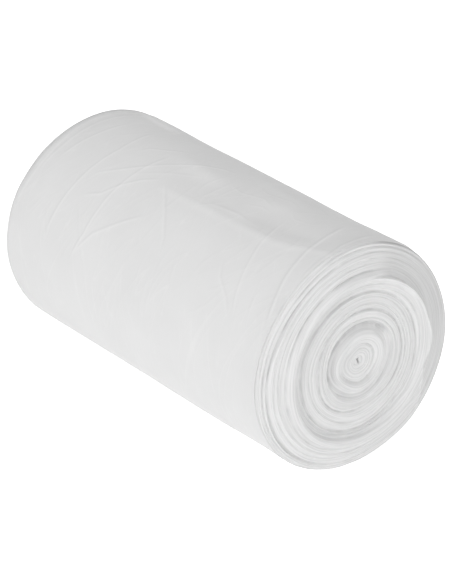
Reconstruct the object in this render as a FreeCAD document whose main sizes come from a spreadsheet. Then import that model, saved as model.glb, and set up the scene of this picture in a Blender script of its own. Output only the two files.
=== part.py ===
import FreeCAD
import Part
import Sketcher
import math
import os
from FreeCAD import Vector

# A coreless roll of folded plastic bin bags, lying on its side. All sizes are in millimetres.
# The folded web of bags is wound into one solid body. Its axis runs along X and it rests on a small flat spot.
# The turns have slipped along the axis, so the end at +X bulges and the end at -X is hollow by the same amount.
# A spiral gap in both ends shows where one bundle of turns meets the next.

# Alias, size and what it is. These are the driving dimensions of the roll.
SIZES = [
    ("roll_diameter", 116.0, "diameter over the outer turn"),
    ("web_width", 200.0, "width of the folded web, which is the length of each turn along the axis"),
    ("rim_round", 4.0, "radius of the soft rim at the ends of the outer turns"),
    ("knee_radius", 45.0, "radius at which the slope from the rim steepens"),
    ("knee_rise", 4.0, "how far the turns there have slipped along the axis"),
    ("crest_radius", 42.5, "radius of the turns that have slipped furthest"),
    ("crest_rise", 6.0, "how far those turns have slipped"),
    ("face_radius", 34.0, "radius inside which the turns lie level"),
    ("face_rise", 4.8, "how far the level turns have slipped"),
    ("eye_ring", 8.0, "radius at which the face starts to sink towards the eye"),
    ("eye_dip", 1.6, "how far the face sinks there"),
    ("eye_width", 2.6, "width of the eye that the winding mandrel left, now nearly closed"),
    ("eye_height", 5.0, "height of the eye"),
    ("first_gap", 4.5, "radius at which the spiral gap starts"),
    ("bundle_pitch", 7.4, "radial thickness of one bundle of turns"),
    ("gap_width", 0.8, "width of the gap between two bundles"),
    ("gap_depth", 1.5, "least depth of that gap, along the axis"),
    ("rim_land", 1.8, "least film between the end of the gap and the soft rim"),
    ("tail_step", 0.4, "thickness of the folded bag that ends on the outside"),
    ("tail_angle", 66.0, "degrees above level at which that bag ends, on the side at -Y"),
    ("flat_depth", 0.9, "how far the roll has settled flat where it rests"),
]

# The quarter round of the rim is drawn as this many straight slices.
RIM_SLICES = 3
# The surface under the tail is a circle set off the axis. This share of the step is what its radius loses.
TAIL_LOSS = 0.4

# A sketch knows its root point, its axes and the points of a line or arc by these numbers.
ORIGIN_POINT = (-1, 1)
ACROSS_AXIS = -1
UP_AXIS = -2
START, END, CENTRE = 1, 2, 3


class Measure:
    """A size worked out from the sheet: its number, and the expression that binds it to the cells."""

    def __init__(self, value, text):
        self.value = value
        self.text = text

    def join(self, other, sign, value):
        text = other.text if isinstance(other, Measure) else repr(other)
        return Measure(value, "({} {} {})".format(self.text, sign, text))

    def __add__(self, other):
        return self.join(other, "+", self.value + number(other))

    def __sub__(self, other):
        return self.join(other, "-", self.value - number(other))

    def __mul__(self, other):
        return self.join(other, "*", self.value * number(other))

    def __truediv__(self, other):
        return self.join(other, "/", self.value / number(other))


def number(size):
    return size.value if isinstance(size, Measure) else size


def add_sheet(doc):
    """Writes the driving dimensions to the sheet and returns them by alias."""
    sheet = doc.addObject("Spreadsheet::Sheet", "sizes")
    size = {}
    for row, (alias, value, note) in enumerate(SIZES, start=1):
        sheet.set("A{}".format(row), alias)
        sheet.set("B{}".format(row), str(value))
        sheet.set("C{}".format(row), note)
        sheet.setAlias("B{}".format(row), alias)
        size[alias] = Measure(value, "sizes." + alias)
    doc.recompute()
    return size


def add_sketch(body, label, plane):
    """A sketch on one of the body's own origin planes."""
    sketch = body.newObject("Sketcher::SketchObject", label)
    role = [feature for feature in body.Origin.OriginFeatures if feature.Role == plane]
    sketch.AttachmentSupport = [(role[0], "")]
    sketch.MapMode = "FlatFace"
    return sketch


def constrain(sketch, kind, *where):
    sketch.addConstraint(Sketcher.Constraint(kind, *where))


def drive(sketch, kind, size, *where):
    """A dimension whose value follows the sheet."""
    index = sketch.addConstraint(Sketcher.Constraint(kind, *where, size.value))
    sketch.setExpression("Constraints[{}]".format(index), size.text)


def drive_place(sketch, point, across, up):
    """Holds a point at a distance across and up from the sketch's origin. Each may be negative."""
    for kind, size in (("DistanceX", across), ("DistanceY", up)):
        if size.value < 0:
            drive(sketch, kind, size * -1, *point, *ORIGIN_POINT)
        else:
            drive(sketch, kind, size, *ORIGIN_POINT, *point)


def add_line(sketch, first, last):
    """A line between two points that are already held."""
    ends = [sketch.getPoint(*first), sketch.getPoint(*last)]
    line = sketch.addGeometry(Part.LineSegment(*ends), False)
    constrain(sketch, "Coincident", line, START, *first)
    constrain(sketch, "Coincident", line, END, *last)


def add_outline(sketch, corners):
    """Straight lines through corners given as across and up. Returns the first and last points."""
    joint = None
    for (x0, y0), (x1, y1) in zip(corners, corners[1:]):
        ends = [Vector(x0.value, y0.value, 0), Vector(x1.value, y1.value, 0)]
        line = sketch.addGeometry(Part.LineSegment(*ends), False)
        if joint is None:
            first = (line, START)
            drive_place(sketch, first, x0, y0)
        else:
            constrain(sketch, "Coincident", line, START, *joint)
        joint = (line, END)
        drive_place(sketch, joint, x1, y1)
    return first, joint


def add_half_arc(sketch, radius, centre_across, turn):
    """Half a circle from one side of its centre to the other, over the top or, after half a turn, below."""
    circle = Part.Circle(Vector(centre_across, 0, 0), Vector(0, 0, 1), radius)
    return sketch.addGeometry(Part.ArcOfCircle(circle, turn, turn + math.pi), False)


def slip_outline(size):
    """Radius and height along +X from the soft rim's edge to the axis: how far each turn has slipped."""
    edge = size["roll_diameter"] / 2 - size["rim_round"]
    level = size["face_rise"]
    return [
        (edge, level * 0),
        (size["knee_radius"], size["knee_rise"]),
        (size["crest_radius"], size["crest_rise"]),
        (size["face_radius"], level),
        (size["eye_ring"], level),
        (level * 0, level - size["eye_dip"]),
    ]


def end_outline(size, plane_x, outward):
    """The corners of one end face from the outer turn to the axis. Outward is 1 at +X and -1 at -X."""
    face = [(plane_x + height, radius) for radius, height in slip_outline(size)]
    edge_x, edge_radius = face[0]
    rim = []
    for piece in range(RIM_SLICES):
        angle = math.pi / 2 * piece / RIM_SLICES
        back = size["rim_round"] * (outward * (math.sin(angle) - 1))
        rim.append((edge_x + back, edge_radius + size["rim_round"] * math.cos(angle)))
    return rim + face


def revolve(body, sketch, label):
    feature = body.newObject("PartDesign::Revolution", label)
    feature.Profile = sketch
    feature.ReferenceAxis = (sketch, ["H_Axis"])
    feature.Angle = 360.0


def cut_through(body, sketch, label):
    """Cuts the sketch through the whole length, and checks that something was cut."""
    body.Document.recompute()
    before = body.Shape.Volume
    feature = body.newObject("PartDesign::Pocket", label)
    feature.Profile = sketch
    feature.Type = "ThroughAll"
    feature.SideType = "Symmetric"
    body.Document.recompute()
    if body.Shape.isNull() or not body.Shape.Volume < before:
        raise RuntimeError(label + " cuts nothing")


def add_turns(body, size):
    """All the turns as one body, from half of its section. Both ends carry the same slip."""
    sketch = add_sketch(body, "turns_sketch", "XZ_Plane")
    near_rim, near_axis = add_outline(sketch, end_outline(size, size["web_width"] / 2, 1))
    far_rim, far_axis = add_outline(sketch, end_outline(size, size["web_width"] / -2, -1))
    add_line(sketch, near_rim, far_rim)
    add_line(sketch, near_axis, far_axis)
    revolve(body, sketch, "turns")


def add_spiral_wall(sketch, first_radius, growth, half_turns):
    """A clockwise spiral of half circles about two centres, which grows by the same amount each half turn."""
    centres = []
    joint = None
    for half in range(half_turns):
        side = half % 2
        arc = add_half_arc(sketch, (first_radius + growth * half).value, -growth.value * side, math.pi * side)
        if len(centres) == 2:
            constrain(sketch, "Coincident", arc, CENTRE, *centres[side])
        elif side:
            constrain(sketch, "PointOnObject", arc, CENTRE, ACROSS_AXIS)
            drive(sketch, "DistanceX", growth, arc, CENTRE, *ORIGIN_POINT)
        else:
            constrain(sketch, "Coincident", arc, CENTRE, *ORIGIN_POINT)
        if len(centres) < 2:
            centres.append((arc, CENTRE))
        if joint is None:
            first = (arc, END)
            drive(sketch, "Radius", first_radius, arc)
            constrain(sketch, "PointOnObject", arc, END, ACROSS_AXIS)
        else:
            constrain(sketch, "Coincident", arc, END, *joint)
        constrain(sketch, "PointOnObject", arc, START, ACROSS_AXIS)
        joint = (arc, START)
    return first, joint


def add_spiral_gap(body, size):
    """The gap between bundles of turns, as a spiral slit across the whole roll."""
    sketch = add_sketch(body, "spiral_sketch", "YZ_Plane")
    growth = size["bundle_pitch"] / 2
    edge = size["roll_diameter"] / 2 - size["rim_round"] - size["rim_land"]
    half_turns = int((edge - size["gap_width"] - size["first_gap"]).value / growth.value)
    inner = add_spiral_wall(sketch, size["first_gap"], growth, half_turns)
    outer = add_spiral_wall(sketch, size["first_gap"] + size["gap_width"], growth, half_turns)
    for inner_end, outer_end in zip(inner, outer):
        add_line(sketch, inner_end, outer_end)
    cut_through(body, sketch, "spiral_gap")


def add_middle(body, size):
    """Fills the slit between the two ends, so that it is a groove at each. Its floors are level."""
    sketch = add_sketch(body, "middle_sketch", "XZ_Plane")
    radius = size["roll_diameter"] / 2 - size["rim_round"]
    near_x = size["web_width"] / 2 - size["gap_depth"]
    far_x = size["web_width"] / -2 + size["crest_rise"] + size["gap_depth"]
    corners = [(far_x, radius), (near_x, radius), (near_x, radius * 0), (far_x, radius * 0)]
    first, last = add_outline(sketch, corners)
    add_line(sketch, last, first)
    revolve(body, sketch, "middle")


def add_eye(body, size):
    """The nearly closed hole that the winding mandrel left along the axis."""
    sketch = add_sketch(body, "eye_sketch", "YZ_Plane")
    radius = size["eye_width"] / 2
    reach = size["eye_height"] / 2 - radius
    arcs = []
    for side in (1, -1):
        circle = Part.Circle(Vector(0, side * reach.value, 0), Vector(0, 0, 1), radius.value)
        turn = math.pi * (1 - side) / 2
        arc = sketch.addGeometry(Part.ArcOfCircle(circle, turn, turn + math.pi), False)
        ends = [ORIGIN_POINT, (arc, CENTRE)]
        drive(sketch, "DistanceY", reach, *ends[side < 0], *ends[side > 0])
        constrain(sketch, "PointOnObject", arc, CENTRE, UP_AXIS)
        drive(sketch, "Radius", radius, arc)
        constrain(sketch, "Horizontal", arc, CENTRE, arc, START)
        constrain(sketch, "Horizontal", arc, CENTRE, arc, END)
        arcs.append(arc)
    top, bottom = arcs
    add_line(sketch, (top, END), (bottom, START))
    add_line(sketch, (bottom, END), (top, START))
    cut_through(body, sketch, "eye")


def add_tail(body, size):
    """The step where the last bag ends. Clockwise of it the surface is one folded bag lower, and rises again."""
    sketch = add_sketch(body, "tail_sketch", "YZ_Plane")
    turned = FreeCAD.Rotation(Vector(0, 0, -1), size["tail_angle"].value)
    sketch.AttachmentOffset = FreeCAD.Placement(Vector(0, 0, 0), turned)
    sketch.setExpression("AttachmentOffset.Rotation.Angle", size["tail_angle"].text)
    step = size["tail_step"]
    shift = step * (1 - TAIL_LOSS)
    outer_radius = size["roll_diameter"] / 2 + step
    under_radius = size["roll_diameter"] / 2 - step * TAIL_LOSS
    outer = add_half_arc(sketch, outer_radius.value, 0, 0)
    under = add_half_arc(sketch, under_radius.value, shift.value, 0)
    drive(sketch, "Radius", outer_radius, outer)
    drive(sketch, "Radius", under_radius, under)
    constrain(sketch, "Coincident", outer, CENTRE, *ORIGIN_POINT)
    constrain(sketch, "PointOnObject", under, CENTRE, ACROSS_AXIS)
    drive(sketch, "DistanceX", shift, *ORIGIN_POINT, under, CENTRE)
    for end in (START, END):
        constrain(sketch, "PointOnObject", outer, end, ACROSS_AXIS)
        constrain(sketch, "PointOnObject", under, end, ACROSS_AXIS)
        add_line(sketch, (under, end), (outer, end))
    cut_through(body, sketch, "tail")


def add_flat(body, size):
    """The flat spot that the roll's own weight leaves underneath."""
    sketch = add_sketch(body, "flat_sketch", "YZ_Plane")
    side = size["roll_diameter"] / 2
    top = size["flat_depth"] - side
    bottom = size["roll_diameter"] * -1
    corners = [(side * -1, top), (side * -1, bottom), (side, bottom), (side, top)]
    first, last = add_outline(sketch, corners)
    add_line(sketch, last, first)
    cut_through(body, sketch, "flat_spot")


def place_on_floor(body, size):
    """Puts the flat spot on z = 0 and the middle of the roll's length at x = 0."""
    body.setExpression("Placement.Base.x", (size["crest_rise"] / -2).text)
    body.setExpression("Placement.Base.z", (size["roll_diameter"] / 2 - size["flat_depth"]).text)
    body.Document.recompute()


def write_part(body):
    """Writes the solid under its node's name, once the whole document is sound."""
    failed = [item.Label for item in body.Document.Objects if "Invalid" in item.State or "Error" in item.State]
    if failed or body.Shape.isNull() or not body.Shape.isValid() or len(body.Shape.Solids) != 1:
        raise RuntimeError("not one sound solid: " + ", ".join(failed or [body.Label]))
    os.makedirs("parts", exist_ok=True)
    body.Shape.exportStep("parts/{}.step".format(body.Label))


def main():
    doc = FreeCAD.newDocument("bag_roll")
    size = add_sheet(doc)
    body = doc.addObject("PartDesign::Body", "bag_roll")
    add_turns(body, size)
    add_spiral_gap(body, size)
    add_middle(body, size)
    add_eye(body, size)
    add_tail(body, size)
    add_flat(body, size)
    place_on_floor(body, size)
    write_part(body)


main()
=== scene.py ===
import bpy
import bmesh
import math
import numpy as np
from mathutils import Matrix, Vector


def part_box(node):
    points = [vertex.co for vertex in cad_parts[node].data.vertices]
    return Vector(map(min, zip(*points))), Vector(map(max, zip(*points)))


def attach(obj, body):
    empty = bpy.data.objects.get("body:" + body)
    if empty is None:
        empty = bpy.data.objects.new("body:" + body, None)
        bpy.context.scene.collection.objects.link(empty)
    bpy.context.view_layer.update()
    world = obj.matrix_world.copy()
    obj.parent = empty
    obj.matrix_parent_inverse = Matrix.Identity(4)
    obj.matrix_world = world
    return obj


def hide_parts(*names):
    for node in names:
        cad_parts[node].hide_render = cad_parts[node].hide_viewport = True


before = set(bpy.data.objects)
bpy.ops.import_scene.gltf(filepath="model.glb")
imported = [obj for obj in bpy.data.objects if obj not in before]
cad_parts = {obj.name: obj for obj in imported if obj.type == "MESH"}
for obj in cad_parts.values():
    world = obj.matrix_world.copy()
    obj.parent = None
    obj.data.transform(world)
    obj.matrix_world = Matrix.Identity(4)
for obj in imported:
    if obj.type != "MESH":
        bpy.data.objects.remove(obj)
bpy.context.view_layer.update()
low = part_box("bag_roll")[0]
print("frame loaded")

# The roll's own sizes, in mm. Its axis runs along X. A turn of 0 faces -Y, and 0.25 is the top.
roll = {
    "radius": 58.0,
    "flatDepth": 0.9,       # how far it has settled on the floor
    "webWidth": 200.0,
    "rimRound": 1.6,        # soft rim of the outer turns
    "filmSunk": 0.15,       # the turns at the ends lie this much below the outer film
    "meldWithin": 0.002,    # points closer than this are one
    "toMetres": 0.001,
}
roll["around"] = 2 * math.pi * roll["radius"]
roll["axisHeight"] = roll["radius"] - roll["flatDepth"]
roll["farRim"] = low[0] / roll["toMetres"]
roll["nearRim"] = roll["farRim"] + roll["webWidth"]
roll["faceEdge"] = roll["radius"] - roll["rimRound"]


def softStep(share):
    share = np.clip(share, 0, 1)
    return share * share * (3 - 2 * share)


def softPath(points, values):  # heights between given points, level at each point
    places, heights = (np.array(column, float) for column in zip(*points))
    index = np.clip(np.searchsorted(places, values) - 1, 0, len(places) - 2)
    share = (values - places[index]) / (places[index + 1] - places[index])
    return heights[index] + (heights[index + 1] - heights[index]) * softStep(share)


def makeNoise(seed, rows, columns):  # smooth noise from -1 to 1 on a strip that closes round the roll
    table = np.random.default_rng(seed).uniform(-1, 1, (rows + 1, columns))

    def noiseAt(row, turn):
        row = np.clip(row, 0, rows - 0.001)  # just short of the table's end
        column = (turn % 1.0) * columns
        row0 = np.floor(row).astype(int)
        column0 = np.floor(column).astype(int) % columns
        column1 = (column0 + 1) % columns
        across = softStep(row - row0)
        around = softStep(column - np.floor(column))
        upper = table[row0, column0] * (1 - around) + table[row0, column1] * around
        lower = table[row0 + 1, column0] * (1 - around) + table[row0 + 1, column1] * around
        return upper * (1 - across) + lower * across

    return noiseAt


def arcWeight(turn, first, sweep, fade):  # 1 over an arc of the circle, falling to 0 past its ends
    if sweep >= 1:
        return np.ones_like(turn)
    offset = np.abs((turn - first - sweep / 2 + 0.5) % 1.0 - 0.5)
    return 1 - softStep((offset - sweep / 2) / fade)


def hump(offset, width):  # 1 at its middle, falling softly to both sides
    return np.exp(-(offset / width) ** 2)


# A piece starts as a flat grid: rows follow its outline, columns go round the roll's axis

def flatGrid(rows, columns):
    shape = bmesh.new()
    bmesh.ops.create_grid(shape, x_segments=rows, y_segments=columns, size=0.5)
    shares = np.array([vert.co[:] for vert in shape.verts]) + 0.5  # from 0 to 1 both ways
    return shape, np.round(shares[:, 0] * rows), np.round(shares[:, 1] * columns)


def rollUp(shape, along, radius, turn, lowest):  # lowest is the height of the flat spot
    angle = turn * 2 * math.pi
    up = np.maximum(radius * np.sin(angle) + roll["axisHeight"], lowest)
    for vert, x, y, z in zip(shape.verts, along, -radius * np.cos(angle), up):
        vert.co = (x, y, z)
    bmesh.ops.remove_doubles(shape, verts=shape.verts, dist=roll["meldWithin"])
    bmesh.ops.recalc_face_normals(shape, faces=shape.faces)


def paint(shape, name, values):  # an attribute that a material reads
    layer = shape.verts.layers.float.new(name)
    for vert, value in zip(shape.verts, values):
        vert[layer] = value


def finishPiece(name, shape, material):
    bmesh.ops.scale(shape, verts=shape.verts, vec=[roll["toMetres"]] * 3)
    mesh = bpy.data.meshes.new(name)
    shape.to_mesh(mesh)
    shape.free()
    mesh.shade_smooth()
    mesh.materials.append(material)
    piece = bpy.data.objects.new(name, mesh)
    bpy.context.collection.objects.link(piece)
    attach(piece, "root")
    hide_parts("bag_roll")
    print(name, "made with", len(mesh.polygons), "faces")


# The outer surface, shared by the film and by what shows of the ends beside it
surface = {
    "before": 4.0,          # mm past the far rim, where the rows of both noises begin
    "soft": 0.3,            # mm that the roll leaves a true circle
    "softPitch": 30.0,      # mm from row to row
    "softNoise": (5, 8, 9),  # seed, rows and columns
    "ripple": 0.07,
    "ripplePitch": 10.0,
    "rippleNoise": (6, 24, 30),
    "tailRise": 0.25,       # mm, the free end of the last bag
    "tailStep": 2.5,        # mm over which the surface steps down past it
    "tailFade": 0.33,       # of a turn, over which it rises again
    # The free end itself: place along the roll in mm, degrees above level at the front
    "tail": [(-110, 66), (-16, 67), (25, 68), (60, 69), (72, 71), (83, 75), (92, 78), (110, 80)],
    "tailStart": -24,       # mm along the roll, where it begins to show
    "tailGrow": 20.0,       # mm, until it stands at its full height
    "tailHidden": 0.2,      # share of its height before that
}

softNoise = makeNoise(*surface["softNoise"])
rippleNoise = makeNoise(*surface["rippleNoise"])


def pastTail(along, turn):  # mm round the roll beyond the free end
    return (turn - softPath(surface["tail"], along) / 360) % 1.0 * roll["around"]


def surfaceHeight(along, turn):
    start = along - roll["farRim"] + surface["before"]
    soft = surface["soft"] * softNoise(start / surface["softPitch"], turn)
    ripple = surface["ripple"] * rippleNoise(start / surface["ripplePitch"], turn)
    past = pastTail(along, turn)
    grown = softStep((along - surface["tailStart"]) / surface["tailGrow"])
    rise = surface["tailRise"] * (surface["tailHidden"] + (1 - surface["tailHidden"]) * grown)
    risen = softStep(past / (surface["tailFade"] * roll["around"]))
    return soft + ripple - rise * softStep(past / surface["tailStep"]) * (1 - risen)


# Materials

def fromHex(text):
    channels = [int(text[start:start + 2], 16) / 255 for start in (1, 3, 5)]
    linear = [c / 12.92 if c <= 0.04045 else ((c + 0.055) / 1.055) ** 2.4 for c in channels]
    return (*linear, 1.0)


def addNode(tree, kind, settings=(), inputs=()):
    node = tree.nodes.new(kind)
    for name, value in dict(settings).items():
        setattr(node, name, value)
    for name, value in dict(inputs).items():
        if isinstance(value, bpy.types.NodeSocket):
            tree.links.new(value, node.inputs[name])
        else:
            node.inputs[name].default_value = value
    return node


def newMaterial(name):
    material = bpy.data.materials.new(name)
    material.use_nodes = True
    material.node_tree.nodes.clear()
    return material, material.node_tree


# High-density polythene, blown into thin film: milky, a soft satin sheen, die lines along the web
polythene = {
    "white": "#E6E6E6",
    "dull": "#DEDEDE",
    "shadow": "#B0B0B0",
    "highlightColour": "#F2F2F2",  # colour of the painted highlight on folds, wrinkles and the free end; bent polythene is also a little paler
    "roughness": 0.6,
    "ior": 1.54,
    "depth": 0.3,           # share of light that goes into the film
    "depthReach": 2.0,      # mm, the same for each colour
    "patchSize": 30.0,      # mm between lighter and duller patches
    "patchDetail": 4.0,     # how many finer noises are added, as below
    "dieLine": 1.6,         # mm between die lines, true ones are too fine to show
    "dieLineRun": 60.0,     # mm that a die line keeps its form
    "dieLineRise": 0.07,    # mm
    "dieLineDetail": 2.0,
    "crumple": 5.0,         # mm across a small crumple
    "crumpleRise": 0.11,    # mm
    "crumpleDetail": 3.0,
    # fine wrinkles: mm across and along each way, and degrees turned, for each set
    "wrinkles": [((5, 60, 60), (0, 10, -14)), ((7, 80, 80), (0, -18, 26))],
    "wrinkleWidth": 0.02,   # of the noise's range
    "wrinkleRise": 0.04,    # mm
    # share of the painted highlight along each wrinkle
    "wrinkleHighlight": 0.12,
}


# Object coordinates, turned by degrees and then counted in the pattern's own sizes, given in mm
def scaled(tree, vector, sizes, turned=(0, 0, 0)):
    counts = [1 / (size * roll["toMetres"]) for size in sizes]
    angles = [math.radians(angle) for angle in turned]
    spun = addNode(tree, "ShaderNodeMapping", {}, {"Vector": vector, "Rotation": angles})
    return addNode(tree, "ShaderNodeMapping", {}, {
        "Vector": spun.outputs["Vector"], "Scale": counts}).outputs["Vector"]


def filmShader(tree, colour, normal):
    shader = addNode(tree, "ShaderNodeBsdfPrincipled", {}, {
        "Base Color": colour,
        "Roughness": polythene["roughness"],
        "IOR": polythene["ior"],
        "Subsurface Weight": polythene["depth"],
        "Subsurface Radius": (1.0, 1.0, 1.0),
        "Subsurface Scale": polythene["depthReach"] * roll["toMetres"],
        "Normal": normal,
    })
    addNode(tree, "ShaderNodeOutputMaterial", {}, {"Surface": shader.outputs["BSDF"]})


def filmColour(tree, where):
    size = polythene["patchSize"]
    patches = addNode(tree, "ShaderNodeTexNoise", {}, {
        "Vector": scaled(tree, where, (size, size, size)), "Scale": 1.0,
        "Detail": polythene["patchDetail"]})
    return addNode(tree, "ShaderNodeMix", {"data_type": "RGBA"}, {
        "Factor": patches.outputs["Fac"], "A": fromHex(polythene["dull"]),
        "B": fromHex(polythene["white"])}).outputs["Result"]


def wrinkleLines(tree, where, sizes, turned):  # fine lines where a stretched noise crosses its middle
    noise = addNode(tree, "ShaderNodeTexNoise", {}, {
        "Vector": scaled(tree, where, sizes, turned), "Scale": 1.0, "Detail": 0.0})
    middle = addNode(tree, "ShaderNodeMath", {"operation": "SUBTRACT"}, {
        0: noise.outputs["Fac"], 1: 0.5})
    offset = addNode(tree, "ShaderNodeMath", {"operation": "ABSOLUTE"}, {0: middle.outputs["Value"]})
    return addNode(tree, "ShaderNodeMapRange", {"interpolation_type": "SMOOTHSTEP"}, {
        "Value": offset.outputs["Value"], "From Min": 0.0, "From Max": polythene["wrinkleWidth"],
        "To Min": 1.0, "To Max": 0.0}).outputs["Result"]


def wrapMaterial():
    material, tree = newMaterial("blownPolytheneWrap")
    where = addNode(tree, "ShaderNodeTexCoord").outputs["Object"]
    run = polythene["dieLineRun"]
    lines = addNode(tree, "ShaderNodeTexNoise", {}, {
        "Vector": scaled(tree, where, (polythene["dieLine"], run, run)), "Scale": 1.0,
        "Detail": polythene["dieLineDetail"]})
    size = polythene["crumple"]
    crumples = addNode(tree, "ShaderNodeTexNoise", {}, {
        "Vector": scaled(tree, where, (size, size, size)), "Scale": 1.0,
        "Detail": polythene["crumpleDetail"]})
    crumpled = addNode(tree, "ShaderNodeBump", {}, {
        "Height": crumples.outputs["Fac"], "Distance": polythene["crumpleRise"] * roll["toMetres"]})
    lined = addNode(tree, "ShaderNodeBump", {}, {
        "Height": lines.outputs["Fac"], "Distance": polythene["dieLineRise"] * roll["toMetres"],
        "Normal": crumpled.outputs["Normal"]})
    normal, colour = lined.outputs["Normal"], filmColour(tree, where)
    # painted highlight along the wrinkles, then the painted shade and painted highlight that the film
    # carries, mixed over the film's own colour, each by its own amount
    tones = []
    for sizes, turned in polythene["wrinkles"]:
        wrinkles = wrinkleLines(tree, where, sizes, turned)
        normal = addNode(tree, "ShaderNodeBump", {}, {
            "Height": wrinkles, "Distance": polythene["wrinkleRise"] * roll["toMetres"],
            "Normal": normal}).outputs["Normal"]
        tones.append((polythene["highlightColour"], addNode(tree, "ShaderNodeMath", {"operation": "MULTIPLY"}, {
            0: wrinkles, 1: polythene["wrinkleHighlight"]}).outputs["Value"]))
    for name, tone in (("shade", polythene["shadow"]), ("paintedHighlight", polythene["highlightColour"])):
        painted = addNode(tree, "ShaderNodeAttribute", {"attribute_name": name})
        tones.append((tone, painted.outputs["Fac"]))
    for tone, amount in tones:
        colour = addNode(tree, "ShaderNodeMix", {"data_type": "RGBA"}, {
            "Factor": amount, "A": colour, "B": fromHex(tone)}).outputs["Result"]
    filmShader(tree, colour, normal)
    return material


# The same film seen at its cut edges: many thin layers side by side, ring on ring
cutFilm = {
    "layer": 0.55,          # mm between lines, true layers are too fine to show
    "layerRun": 30.0,       # mm that a line keeps its tone
    "layerRise": 0.06,      # mm
    "layerDetail": 2.0,
    "layerRange": (0.38, 0.6),  # of the noise, from the darkest line to the palest
    "edge": "#E9E9E9",
    "between": "#DADADA",
    "gap": "#A8A8A8",       # painted shade, in the gaps between two bundles of turns
    "gapShade": 0.27,       # share of it for each mm of depth
}


def edgesMaterial():
    material, tree = newMaterial("blownPolytheneEdges")
    where = addNode(tree, "ShaderNodeTexCoord").outputs["Object"]
    ring = addNode(tree, "ShaderNodeAttribute", {"attribute_name": "ring"}).outputs["Fac"]
    count = addNode(tree, "ShaderNodeMath", {"operation": "DIVIDE"}, {0: ring, 1: cutFilm["layer"]})
    run = cutFilm["layerRun"]
    lines = addNode(tree, "ShaderNodeTexNoise", {"noise_dimensions": "4D"}, {
        "Vector": scaled(tree, where, (run, run, run)), "W": count.outputs["Value"], "Scale": 1.0,
        "Detail": cutFilm["layerDetail"]})
    lined = addNode(tree, "ShaderNodeBump", {}, {
        "Height": lines.outputs["Fac"], "Distance": cutFilm["layerRise"] * roll["toMetres"]})
    darkest, palest = cutFilm["layerRange"]
    spread = addNode(tree, "ShaderNodeMapRange", {}, {
        "Value": lines.outputs["Fac"], "From Min": darkest, "From Max": palest,
        "To Min": 0.0, "To Max": 1.0})
    layered = addNode(tree, "ShaderNodeMix", {"data_type": "RGBA"}, {
        "Factor": spread.outputs["Result"], "A": fromHex(cutFilm["between"]),
        "B": fromHex(cutFilm["edge"])})
    shade = addNode(tree, "ShaderNodeAttribute", {"attribute_name": "shade"}).outputs["Fac"]
    colour = addNode(tree, "ShaderNodeMix", {"data_type": "RGBA"}, {
        "Factor": shade, "A": layered.outputs["Result"], "B": fromHex(cutFilm["gap"])}).outputs["Result"]
    filmShader(tree, colour, lined.outputs["Normal"])
    return material


# The two ends. Radius and slip along +X in mm, by how far each bundle of turns has moved.
slip = {
    "even": [
        (0, 3.2), (2.5, 3.7), (6, 4.5), (9, 4.4), (12.4, 5.7), (13.6, 5.6), (17.6, 3.2), (18.6, 3.1),
        (20.8, 5.0), (25.2, 4.9), (26.2, 4.5), (28, 4.9), (33.6, 4.4), (35.2, 3.8), (37, 4.3),
        (38.6, 4.4), (41, 6.3), (42.4, 6.3), (44.8, 5.0), (45.6, 4.4), (48, 3.7), (51.4, 2.6),
        (52.8, 1.8), (55, 1.1), (56.5, 0.4), (59, 0)],
    # on the side at +Y the turns past the crest have stayed back: above and below the cliff there
    "held": [
        (0, 3.2), (2.5, 3.7), (6, 4.5), (9, 4.4), (12.6, 5.4), (14, 5.3), (17.8, 3.6), (18.8, 3.5),
        (20.8, 4.9), (25.2, 4.9), (26.2, 4.5), (28, 4.9), (34, 4.6), (37, 5.0), (41.2, 5.9), (43, 6.0),
        (47, 5.4), (51, 3.6), (54, 1.6), (57, 0.4), (59, 0)],
    "low": [(0, 1.9), (43, 1.9), (50, 1.3), (54, 0.5), (57, 0.2), (59, 0)],
    # by turn, how far they have that form
    "heldShare": [(0, 0), (0.26, 0), (0.34, 1), (0.61, 1), (0.64, 0), (1, 0)],
    # the cliff's radius by turn: the crest runs out in two lobes
    "cliff": [
        (0.0, 42.0), (0.30, 42.0), (0.455, 42.9), (0.508, 45.2), (0.556, 42.2), (0.589, 46.0),
        (0.611, 50.0), (0.63, 54.0), (0.66, 54.0), (0.75, 42.6), (1.0, 42.6)],
    "cliffWidth": 0.6,
    "lip": 0.35,            # mm that the crest's edge stands up beside the cliff
    "lipInside": 0.4,       # mm from the cliff to the lip
    "lipWidth": 0.8,
    "wander": 1.0,          # mm that a bundle leaves its circle
    "wanderPitch": 6.0,     # mm from row to row of that noise
    "wanderNoise": (12, 7),  # rows and columns
}

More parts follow.
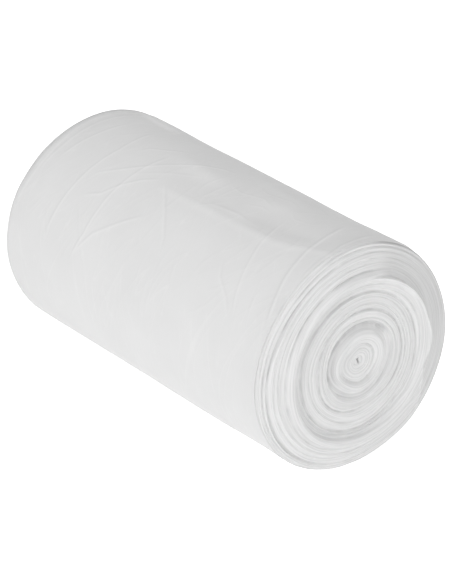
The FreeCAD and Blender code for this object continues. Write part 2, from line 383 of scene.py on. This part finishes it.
# Grooves between bundles
grooves = {
    # radius, depth and half width in mm, first turn, sweep, raggedness
    "arcs": [
        (2.6, 0.20, 0.35, 0.4, 0.5, 0.5),
        (5.0, 0.24, 0.35, 0.3, 0.6, 0.4),
        (6.8, 0.24, 0.3, 0.2, 0.5, 0.4),
        (9.0, 0.40, 0.5, 0.35, 0.3, 0.4),
        (11.0, 0.31, 0.35, 0.6, 0.4, 0.5),
        (15.6, 0.31, 0.35, 0.4, 0.45, 0.5),
        (11.8, 0.50, 1.7, 0.68, 0.24, 0.3),
        (18.8, 1.30, 1.3, 0.97, 0.4, 0.3),
        (19.6, 0.31, 0.4, 0.5, 0.35, 0.5),
        (22.0, 0.35, 0.3, 0.0, 0.5, 0.5),
        (23.6, 0.23, 0.3, 0.6, 0.5, 0.5),
        (25.9, 0.55, 0.45, 0.0, 1.0, 0.5),
        (28.6, 0.39, 0.35, 0.0, 0.7, 0.5),
        (30.6, 0.31, 0.35, 0.4, 0.6, 0.5),
        (32.6, 0.31, 0.35, 0.1, 0.7, 0.5),
        (35.2, 0.55, 0.5, 0.75, 1.0, 0.5),
        (37.2, 0.60, 2.0, 0.72, 0.45, 0.2),
        (37.6, 0.31, 0.35, 0.2, 0.6, 0.5),
        (39.6, 0.39, 0.4, 0.75, 0.6, 0.5),
        (45.2, 0.62, 0.45, 0.8, 0.45, 0.5),
        (48.2, 0.31, 0.35, 0.75, 0.55, 0.5),
        (50.2, 0.31, 0.3, 0.7, 0.6, 0.5),
        (53.0, 0.85, 0.55, 0.85, 0.42, 0.4),
        (53.6, 0.47, 0.45, 0.6, 0.3, 0.4),
        (55.2, 0.47, 0.4, 0.8, 0.55, 0.4),
        (57.3, 0.39, 0.4, 0.8, 0.6, 0.4),
    ],
    "fade": 0.08,           # of a turn, past each end of an arc
    "raggedColumns": 70,    # round the roll
    "clear": 2.0,           # mm round the axis, where they run out
}

# Layers, as relief of the ends
layers = {
    "count": 90,
    "fine": 0.8,            # mm between the finest lines that show
    "fineRise": 0.1,
    "fineColumns": 11,
    "coarse": 2.1,
    "coarseRise": 0.14,
    "coarseColumns": 7,
    "crisp": 2.4,           # how sharply one layer steps to the next
    "broad": 0.3,           # mm, slow lift of whole bundles round the roll
    "broadPitch": 4.3,      # mm from row to row of that noise
    "broadNoise": (14, 5),  # rows and columns
    "calm": 10.0,           # mm round the axis, where all of this grows less
}

# Left open by the mandrel
eye = {
    "radius": 1.0,          # mm
    "depth": 2.2,           # mm
    "ragged": 0.9,          # share of its radius
    "level": 0.4,           # share of its radius where it is deepest
}

ends = {
    "near": {
        "rows": 216, "rimRows": 12, "columns": 360, "seed": 11, "rim": "nearRim", "outward": 1,
        # share of the gap colour, as painted shade on the turns that stayed back, by turn
        "backShade": [
            (0, 0), (0.27, 0), (0.33, 0.24), (0.4, 0.3), (0.45, 0.28), (0.53, 0.2), (0.6, 0.05), (1, 0)],
        "rimShade": 0.5,    # and as painted shade on the rim where the outer film lifts off it
        # how far the rim leans out in mm, by turn
        "lean": [
            (0, 0), (0.40, 0), (0.53, 1.5), (0.64, 1.7), (0.72, 0.5), (0.82, 0.6), (0.93, 0), (1, 0)]},
    "far": {
        "rows": 130, "rimRows": 8, "columns": 300, "seed": 47, "rim": "farRim", "outward": -1,
        "backShade": [(0, 0), (1, 0)],
        "rimShade": 0.0,
        "lean": [
            (0, 2.7), (0.05, 3.0), (0.13, 1.8), (0.22, 0.7), (0.33, 0.4), (0.45, 0), (0.82, 0),
            (0.92, 1.8), (1, 2.7)]},
    "rimShadeArc": (0.31, 0.09, 0.04),  # first turn, sweep and fade
    "rimShadeFrom": 56.8,   # mm along the outline, and mm until it is full
    "rimShadeGrow": 1.2,
    "leanFrom": 44.0,       # mm along the outline, and mm until it is full
    "leanGrow": 10.0,
    "smoothFrom": 1.0,      # mm before the tucked part, where the relief starts to run out
    "smoothOver": 1.5,
    "tuck": 12.0,           # mm that an end reaches under the outer film
    "tuckRows": 6,
    "tuckDip": 0.8,         # mm below the film
    "tuckDipOver": 1.5,
    "tuckLift": 0.3,        # mm above the floor
    "tuckLiftOver": 2.0,
}


def slipAt(reach, turn):
    cliff = softPath(slip["cliff"], turn)
    dropped = softStep((reach - cliff) / slip["cliffWidth"])
    lip = slip["lip"] * hump(reach - cliff + slip["lipInside"], slip["lipWidth"])
    top = softPath(slip["held"], reach) + lip
    stepped = top * (1 - dropped) + softPath(slip["low"], reach) * dropped
    share = softPath(slip["heldShare"], turn)
    return softPath(slip["even"], reach) * (1 - share) + stepped * share, dropped * share


def layerNoise(seed, reach, turn, pitch, columns):  # random steps from one layer to the next
    noise = makeNoise(seed, layers["count"], columns)
    layer = reach / pitch
    sharpened = np.clip((layer % 1.0 - 0.5) * layers["crisp"] + 0.5, 0, 1)
    return noise(np.floor(layer) + sharpened, turn)


def endDetail(reach, turn, seed):  # each ring's own radius, its layers and the gaps beside it, in mm
    wander = makeNoise(seed, *slip["wanderNoise"])
    broad = makeNoise(seed + 1, *layers["broadNoise"])
    ragged = makeNoise(seed + 3, len(grooves["arcs"]) + 1, grooves["raggedColumns"])
    strayed = slip["wander"] * wander(reach / slip["wanderPitch"], turn)
    ring = reach + strayed * softStep(reach / layers["calm"])
    raised = layers["broad"] * broad(ring / layers["broadPitch"], turn)
    raised = raised + layers["fineRise"] * layerNoise(
        seed + 4, ring, turn, layers["fine"], layers["fineColumns"])
    raised = raised + layers["coarseRise"] * layerNoise(
        seed + 5, ring, turn, layers["coarse"], layers["coarseColumns"])
    gap = np.zeros_like(ring)
    for index, (radius, depth, width, first, sweep, rough) in enumerate(grooves["arcs"]):
        here = depth * arcWeight(turn, first, sweep, grooves["fade"]) * (1 + rough * ragged(index, turn))
        gap = gap + here * hump(ring - radius, width)
    hole = eye["radius"] * (1 + eye["ragged"] * wander(0, turn))
    gap = gap * softStep(ring / grooves["clear"])
    gap = gap + eye["depth"] * (1 - softStep((ring - hole * eye["level"]) / hole))
    return ring, raised * softStep(ring / layers["calm"]), gap


def makeEnd(name, end, material):
    rim, outward = roll[end["rim"]], end["outward"]
    # the outline in rows and in mm: face, rim, the tucked part, and a last row back to the axis
    stops = np.cumsum([0, end["rows"], end["rimRows"], ends["tuckRows"], 1])
    reaches = np.cumsum([0, roll["faceEdge"], roll["rimRound"] * math.pi / 2, ends["tuck"], 1])
    shape, row, column = flatGrid(int(stops[-1]), end["columns"])
    turn = column / end["columns"]
    reach = np.interp(row, stops, reaches)  # mm along the outline, from the axis
    tilt = np.clip((reach - roll["faceEdge"]) / roll["rimRound"], 0, math.pi / 2)
    tucked = np.clip(reach - reaches[2], 0, ends["tuck"])
    slipped, back = slipAt(reach, turn)
    ring, raised, gap = endDetail(reach, turn, end["seed"])
    smoothed = softStep((reach - reaches[2] + ends["smoothFrom"]) / ends["smoothOver"])
    detail = (raised - gap) * (1 - smoothed)
    lean = softPath(end["lean"], turn) * softStep((reach - ends["leanFrom"]) / ends["leanGrow"])
    inset = roll["rimRound"] * (1 - np.cos(tilt)) + tucked
    along = rim + slipped * np.cos(tilt) + outward * (detail * np.cos(tilt) - inset + lean)
    radius = np.minimum(reach, roll["faceEdge"]) + roll["rimRound"] * np.sin(tilt)
    outer = surfaceHeight(along, turn) + detail - roll["filmSunk"]
    dip = ends["tuckDip"] * softStep(tucked / ends["tuckDipOver"])
    radius = radius + outer * np.sin(tilt) - dip
    radius = np.where((row == 0) | (row == stops[-1]), 0, radius)  # both outline ends lie on the axis
    along = np.where(row == stops[-1], rim - outward * (roll["rimRound"] + ends["tuck"]), along)
    # painted shade: in the grooves by their depth, on the turns that stayed back, and on the rim where
    # the film lifts
    atRim = softStep((reach - ends["rimShadeFrom"]) / ends["rimShadeGrow"])
    atRim = end["rimShade"] * atRim * arcWeight(turn, *ends["rimShadeArc"])
    shade = gap * cutFilm["gapShade"] + softPath(end["backShade"], turn) * back + atRim
    paint(shape, "shade", np.clip(shade, 0, 1))
    paint(shape, "ring", ring)
    rollUp(shape, along, radius, turn, ends["tuckLift"] * softStep(tucked / ends["tuckLiftOver"]))
    finishPiece(name, shape, material)


# Folds in the outer film. Each has the places that it passes: mm along, degrees above level.
folds = {
    # creases: depth in mm
    "creases": [
        (0.16, [(-73, 15), (-71, 27), (-69, 41), (-66, 58), (-63, 74), (-64, 92), (-62, 100)]),
        (0.16, [(-52, 10), (-46, 27), (-43, 51), (-39, 72), (-37, 81), (-36, 89)]),
        (0.14, [(-51, 14), (-40, 29), (-26, 40), (-12, 50)]),
        (0.15, [(-62, 42), (-49, 48), (-42, 56), (-33, 64), (-22, 71)]),
        (0.15, [(-64, 54), (-51, 63), (-38, 73), (-27, 83), (-9, 97), (0, 99)]),
        (0.14, [(-90, 51), (-87, 65), (-84, 77), (-80, 98)]),
        (0.12, [(-22, 70), (-5, 55), (5, 44), (8, 36)]),
        (0.10, [(2, 63), (8, 54)]),
        (0.09, [(45, 51), (51, 41), (61, 34), (69, 24)]),
        (0.13, [(71, 27), (67, 36), (63, 49), (58, 66), (56, 77), (55, 85)]),
        (0.12, [(80, 30), (78, 41), (79, 47)]),
        (0.12, [(-56, 75), (-51, 83), (-43, 88), (-32, 97)]),
        (0.12, [(0, 71), (-2, 80), (-1, 90), (0, 95)]),
        (0.10, [(23, 25), (21, 37), (21, 40)]),
        (0.12, [(9, 70), (20, 72), (31, 73), (43, 72)]),
        (0.10, [(3, 68), (6, 77), (7, 86), (6, 94)]),
        (0.08, [(9, 70), (12, 79), (13, 88), (12, 95)]),
        (0.07, [(-45, 62), (-25, 75), (-5, 85)]),
        (0.08, [(4, 88), (17, 86), (30, 90), (44, 86)]),
        (0.08, [(14, 98), (26, 95), (40, 99), (50, 96)]),
        (0.07, [(24, 79), (36, 84), (48, 83)]),
        (0.06, [(46, 93), (56, 87), (70, 90)]),
        (0.06, [(36, 104), (52, 107), (66, 102)]),
    ],
    # edges of the turns just under the outer film, seen through it: depth in mm
    "filmEdges": [
        (0.25, [(93, 30), (89, 46), (86, 56), (83, 72), (81, 83), (79, 92), (75, 105)]),
        (0.22, [(97, 40), (96, 54), (94, 62), (94, 77), (92, 86), (91, 96), (88, 112)]),
        (0.10, [(-99, 20), (-97, 50), (-98, 80), (-95, 115)]),
        (0.12, [(-96, 40), (-94, 60), (-93, 85), (-90, 120)]),
    ],
    # loose folds: height and half width in mm, then the share of painted highlight or, below 0, of
    # painted shade
    "loose": [
        (0.8, 2.6, 0.55, [(-100, 112), (-91, 112), (-79, 111), (-68, 110), (-57, 110)]),
        (0.4, 2.0, 0.4, [(-64, 118), (-43, 119), (-10, 118)]),
        (0.3, 4.0, 0.1, [(0, 104), (30, 103), (64, 100)]),
        (0.3, 4.0, 0.0, [(-45, 92), (-18, 89), (8, 86)]),
        (0.0, 6.0, 0.35, [(-40, 84), (-10, 84), (20, 86)]),
        (0.0, 6.0, 0.35, [(14, 84), (40, 88), (70, 90)]),
        (0.0, 3.5, -0.18, [(-4, 72), (20, 72.5), (36, 73)]),
        (0.0, 4.0, -0.4, [(28, 72.5), (56, 74), (70, 76), (90, 82)]),
        # where the film stands off the turns below, at the top of each rim
        (0.45, 6.0, 0.0, [(-125, 127), (-95, 127), (-58, 126)]),
        (0.65, 7.0, 0.0, [(56, 126), (88, 127), (125, 128)]),
    ],
    "fade": 12.0,           # mm at each end
    "fadeWidths": 5,        # half widths at each end of a loose fold, where that is more
    "rimFade": 3.0,         # mm from the film's edges
    # a crease: shares of its depth, with a fine ridge on one side and a fine hollow on the other
    "slope": 0.8,
    "slopeReach": 3.0,      # mm, how far the film slopes up to it
    "ridge": 0.4,
    "ridgeAside": 0.3,      # mm from its line
    "hollow": 0.3,
    "hollowAside": 0.9,
    "width": 0.62,          # mm, half width of both
    "usual": 0.14,          # mm, a crease this deep gets as much painted highlight and shade as the next line says
    "paintedLight": 0.27,
    "palest": 2.5,          # times that at most, for deeper ones
    # an edge of a turn below
    "edgeStep": 0.8,        # mm over which the film steps down
    "edgeReach": 4.0,       # mm, how far that is felt
    # small creases all over, mostly round the roll
    "smallSeed": 21,
    "smallOnes": 130,
    "smallDepth": (0.015, 0.05),
    "smallRun": (12, 45),   # mm
    "smallAlong": (-95, 85),  # mm
    "smallAround": (80, 75),  # degrees above level, middle and spread
    "smallLean": 0.5,       # radians from straight round
    "smallBend": 0.12,      # radians from part to part
    "smallParts": 4,
}


def nearestOn(along, turn, points):  # signed mm from a line on the surface, and mm to its nearer end
    cut = 0.25  # of a turn: the surface is unrolled, cut along the underside
    here = np.stack([along, ((turn + cut) % 1.0) * roll["around"]], 1)
    path = np.array([(x, (degrees / 360 + cut) * roll["around"]) for x, degrees in points])
    best = np.full(len(along), np.inf)
    side = np.zeros(len(along))
    travelled = np.zeros(len(along))
    done = 0.0
    for first, last in zip(path, path[1:]):
        step = last - first
        length = np.hypot(*step)
        share = np.clip(((here - first) @ step) / length ** 2, 0, 1)
        away = here - (first + share[:, None] * step)
        distance = np.hypot(away[:, 0], away[:, 1])
        nearer = distance < best
        best = np.where(nearer, distance, best)
        side = np.where(nearer, np.sign(away[:, 0] * step[1] - away[:, 1] * step[0]), side)
        travelled = np.where(nearer, done + share * length, travelled)
        done += length
    return best * side, np.minimum(travelled, done - travelled)


def foldFilm(along, turn, depth, points, stepped):  # height in mm, and the painted highlight on a fold's ridge side and painted shade on its hollow side
    offset, toEnd = nearestOn(along, turn, points)
    held = softStep(toEnd / folds["fade"])
    paintedHighlight = hump(offset - folds["ridgeAside"], folds["width"])
    paintedShade = hump(offset + folds["hollowAside"], folds["width"])
    if stepped:  # the edge of a turn below, where the film steps down
        down = softStep(offset / folds["edgeStep"] + 0.5)
        height = -depth * down * np.exp(-np.abs(offset) / folds["edgeReach"])
    else:
        slope = folds["slope"] * np.exp(-np.abs(offset) / folds["slopeReach"])
        height = depth * (slope + folds["ridge"] * paintedHighlight - folds["hollow"] * paintedShade)
    tone = held * min(depth / folds["usual"], folds["palest"]) * folds["paintedLight"]
    return height * held, paintedHighlight * tone, paintedShade * tone


def looseFold(along, turn, height, width, paintedLight, points):
    offset, toEnd = nearestOn(along, turn, points)
    raised = softStep(toEnd / max(folds["fade"], folds["fadeWidths"] * width)) * hump(offset, width)
    # painted highlight above 0, painted shade below it
    return height * raised, max(paintedLight, 0) * raised, max(-paintedLight, 0) * raised


def smallCreases():
    chance = np.random.default_rng(folds["smallSeed"])
    found = []
    for _ in range(folds["smallOnes"]):
        part = chance.uniform(*folds["smallRun"]) / folds["smallParts"]
        lean, bend = chance.normal(0, folds["smallLean"]), chance.normal(0, folds["smallBend"])
        x, degrees = chance.uniform(*folds["smallAlong"]), chance.normal(*folds["smallAround"])
        points = [(x, degrees)]
        for _ in range(folds["smallParts"]):
            x += part * math.sin(lean)
            degrees += math.degrees(part * math.cos(lean) / roll["radius"])
            lean += bend
            points.append((x, degrees))
        found.append((chance.uniform(*folds["smallDepth"]), points))
    return found


def allFolds(along, turn):  # height in mm, and the painted highlight and painted shade of all folds together
    found = [foldFilm(along, turn, *fold, False) for fold in folds["creases"] + smallCreases()]
    found += [foldFilm(along, turn, *fold, True) for fold in folds["filmEdges"]]
    found += [looseFold(along, turn, *fold) for fold in folds["loose"]]
    return [sum(parts) for parts in zip(*found)]


# The outer film, from rim to rim
wrap = {
    "rows": 300,
    # columns are closest at the front: column, and degrees above level there
    "columns": [(0, -55), (28, -10), (254, 110), (320, 305)],
    "thickness": 0.9,       # mm, over the tucked part of an end
    "innerLift": 0.15,      # mm that its inner side stays above the floor
    "edgeWander": 0.7,      # mm that the film's edges leave a straight cut
    "edgeNoise": (8, 1, 24),  # seed, rows and columns
    "edgePower": 8,         # how fast that is lost away from an edge
    # shares of the shadow colour, painted as shade: the first just past the free end, where one bag
    # fewer lies under the film
    "pastTailShade": 0.045,
    "pastTailShadeFrom": 6.0,      # mm past the free end, where it starts to fade
    "pastTailShadeFade": 34.0,     # mm
    "foldShade": 0.4,        # painted shade beside a fold
    "farShade": [(0, 0.05), (0.06, 0.1), (0.12, 0.4), (0.3, 0.5), (0.4, 0.1), (1, 0.05)],  # by turn
    "farShadeFrom": 0.5,    # mm from the far rim's round
    "farShadeWidth": 1.5,
    # share of the pale colour, as a painted highlight on the last of the free end
    "tailHighlight": 0.16,
    "tailHighlightAt": 2.2,      # mm before it
    "tailHighlightWidth": 1.8,
    "tailToneGrow": 10.0,   # mm along the roll, until its tones are full
}


def edgeShift(along, turn, farX, nearX):  # mm that the film's edges lean out and wander
    noise = makeNoise(*wrap["edgeNoise"])
    toNear = (along - farX) / (nearX - farX)
    atFar, atNear = (1 - toNear) ** wrap["edgePower"], toNear ** wrap["edgePower"]
    wander = wrap["edgeWander"] * (noise(0, turn) * atFar + noise(1, turn) * atNear)
    nearLean, farLean = (softPath(ends[end]["lean"], turn) for end in ("near", "far"))
    return wander + nearLean * atNear - farLean * atFar


def tailShadeAndHighlight(along, turn):  # painted shade on the film past the free end, and painted highlight just before it
    past = pastTail(along, turn)
    shown = softStep((along - surface["tailStart"]) / wrap["tailToneGrow"])
    faded = softStep((past - wrap["pastTailShadeFrom"]) / wrap["pastTailShadeFade"])
    paintedShade = wrap["pastTailShade"] * softStep(past / surface["tailStep"]) * (1 - faded) * shown
    before = roll["around"] - past
    return paintedShade, wrap["tailHighlight"] * hump(before - wrap["tailHighlightAt"], wrap["tailHighlightWidth"]) * shown


def makeWrap(name, material):
    farX = roll["farRim"] + roll["rimRound"]
    nearX = roll["nearRim"] - roll["rimRound"]
    inner = roll["radius"] - wrap["thickness"]
    first, last = 3, wrap["rows"] + 3  # rows of the outer side
    # the outline as row, place along the roll and radius: it starts and ends on the axis
    outline = [
        (0, farX + ends["tuck"], 0), (1, farX + ends["tuck"], inner), (2, farX, inner),
        (first, farX, roll["radius"]), (last, nearX, roll["radius"]),
        (last + 1, nearX, inner), (last + 2, nearX - ends["tuck"], inner),
        (last + 3, nearX - ends["tuck"], 0)]
    rows, places, radii = zip(*outline)
    columns, degrees = zip(*wrap["columns"])
    shape, row, column = flatGrid(rows[-1], columns[-1])
    turn = np.interp(column, columns, degrees) / 360 % 1.0
    along = np.interp(row, rows, places)
    radius = np.interp(row, rows, radii)
    outer = (row >= first) & (row <= last)
    rimFade = softStep(np.minimum(along - farX, nearX - along) / folds["rimFade"])
    folded, paintedHighlight, paintedShade = (part * rimFade for part in allFolds(along, turn))
    height = np.where(outer, surfaceHeight(along, turn) + folded, 0)
    shift = np.where((row < first - 1) | (row > last + 1), 0, edgeShift(along, turn, farX, nearX))
    tailShade, tailHighlight = tailShadeAndHighlight(along, turn)
    inwards = np.maximum(along - farX - wrap["farShadeFrom"], 0)
    farShade = softPath(wrap["farShade"], turn) * hump(inwards, wrap["farShadeWidth"])
    # painted shade and painted highlight of the folds and the free end, and painted shade at the far rim
    paint(shape, "shade", np.clip(tailShade + wrap["foldShade"] * paintedShade + farShade, 0, 1))
    paint(shape, "paintedHighlight", np.clip(paintedHighlight + tailHighlight, 0, 1))
    rollUp(shape, along + shift, radius + height, turn, np.where(outer, 0, wrap["innerLift"]))
    finishPiece(name, shape, material)


wrapFilm = wrapMaterial()
edgeFilm = edgesMaterial()
makeEnd("nearTurns", ends["near"], edgeFilm)
makeEnd("farTurns", ends["far"], edgeFilm)
makeWrap("outerWrap", wrapFilm)


# Floor, light and camera

studio = {
    "floorReach": 4.0,      # m from its middle to each side
    "floorColour": "#F2F2F2",
    "floorGlow": 0.5,       # added where the camera sees it
    "floorLit": 0.2,        # light of its own, as of a light table
    "skyStrength": 0.43,
    "skyFront": (-0.15, -0.27, 0.39),  # brighter above and in front, as under a studio's big softbox
    "skySeen": 1.0,         # and plain white where the camera sees it
    # name, place in m, width in m and power in W
    "lamps": [("leftSoftbox", (0.3, -1.2, 0.7), 0.4, 3.0), ("rightSoftbox", (1.5, 0.3, 0.3), 0.8, 5.1)],
    "lampAim": (0, 0, 0.06),
}


def seenByCamera(tree):  # 1 for what the camera sees, straight, mirrored or through something
    rays = addNode(tree, "ShaderNodeLightPath").outputs
    direct = addNode(tree, "ShaderNodeMath", {"operation": "ADD", "use_clamp": True}, {
        0: rays["Is Camera Ray"], 1: rays["Is Glossy Ray"]})
    return addNode(tree, "ShaderNodeMath", {"operation": "ADD", "use_clamp": True}, {
        0: direct.outputs["Value"], 1: rays["Is Transmission Ray"]}).outputs["Value"]


def makeFloor():
    shape = bmesh.new()
    bmesh.ops.create_grid(shape, x_segments=1, y_segments=1, size=studio["floorReach"])
    mesh = bpy.data.meshes.new("floor")
    shape.to_mesh(mesh)
    shape.free()
    material, tree = newMaterial("paleFloor")
    diffuse = addNode(tree, "ShaderNodeBsdfDiffuse", {}, {"Color": fromHex(studio["floorColour"])})
    glow = addNode(tree, "ShaderNodeMath", {"operation": "MULTIPLY"}, {
        0: seenByCamera(tree), 1: studio["floorGlow"]})
    lit = addNode(tree, "ShaderNodeMath", {"operation": "ADD"}, {
        0: glow.outputs["Value"], 1: studio["floorLit"]})
    white = addNode(tree, "ShaderNodeEmission", {}, {"Strength": lit.outputs["Value"]})
    both = addNode(tree, "ShaderNodeAddShader", {}, {
        0: diffuse.outputs["BSDF"], 1: white.outputs["Emission"]})
    addNode(tree, "ShaderNodeOutputMaterial", {}, {"Surface": both.outputs["Shader"]})
    mesh.materials.append(material)
    floor = bpy.data.objects.new("floor", mesh)
    bpy.context.collection.objects.link(floor)


def makeWorld():
    world = bpy.data.worlds.new("studio")
    bpy.context.scene.world = world
    world.use_nodes = True
    tree = world.node_tree
    tree.nodes.clear()
    white = fromHex("#FFFFFF")
    direction = addNode(tree, "ShaderNodeTexCoord").outputs["Generated"]
    front = addNode(tree, "ShaderNodeVectorMath", {"operation": "DOT_PRODUCT"}, {
        0: direction, 1: studio["skyFront"]})
    strength = addNode(tree, "ShaderNodeMath", {"operation": "ADD"}, {
        0: front.outputs["Value"], 1: studio["skyStrength"]})
    lit = addNode(tree, "ShaderNodeBackground", {}, {
        "Color": white, "Strength": strength.outputs["Value"]})
    seen = addNode(tree, "ShaderNodeBackground", {}, {"Color": white, "Strength": studio["skySeen"]})
    mixed = addNode(tree, "ShaderNodeMixShader", {}, {
        0: seenByCamera(tree), 1: lit.outputs["Background"], 2: seen.outputs["Background"]})
    addNode(tree, "ShaderNodeOutputWorld", {}, {"Surface": mixed.outputs["Shader"]})


def lookAt(place, target):
    back = (place - target).normalized()
    right = Vector((0, 0, 1)).cross(back).normalized()
    up = back.cross(right)
    return Matrix.Translation(place) @ Matrix((right, up, back)).transposed().to_4x4()


def addLamp(name, place, size, power):
    lamp = bpy.data.lights.new(name, "AREA")
    lamp.shape = "DISK"
    lamp.size = size
    lamp.energy = power
    holder = bpy.data.objects.new(name, lamp)
    holder.matrix_world = lookAt(Vector(place), Vector(studio["lampAim"]))
    bpy.context.collection.objects.link(holder)


# The camera that the photograph was taken with, fitted to the outlines of both ends
view = {
    "turnedRight": 51.56,   # degrees from looking along +Y
    "raised": 26.55,        # degrees above level
    "distance": 1515.8,     # mm from the middle of the axis
    "lens": 189.2,          # mm
    "sensor": 36.0,         # mm wide
    "shiftRight": 0.0084,
    "shiftUp": -0.0152,
}


def addCamera():
    side, lift = math.radians(view["turnedRight"]), math.radians(view["raised"])
    back = Vector((math.sin(side) * math.cos(lift), -math.cos(side) * math.cos(lift), math.sin(lift)))
    target = Vector(((roll["farRim"] + roll["nearRim"]) / 2, 0, roll["axisHeight"])) * roll["toMetres"]
    data = bpy.data.cameras.new("photoView")
    data.lens = view["lens"]
    data.sensor_width = view["sensor"]
    data.shift_x = view["shiftRight"]
    data.shift_y = view["shiftUp"]
    camera = bpy.data.objects.new("photoView", data)
    camera.matrix_world = lookAt(target + back * view["distance"] * roll["toMetres"], target)
    bpy.context.collection.objects.link(camera)
    bpy.context.scene.camera = camera


makeFloor()
makeWorld()
for lamp in studio["lamps"]:
    addLamp(*lamp)
addCamera()
bpy.context.scene.view_settings.view_transform = "Standard"
print("studio ready")
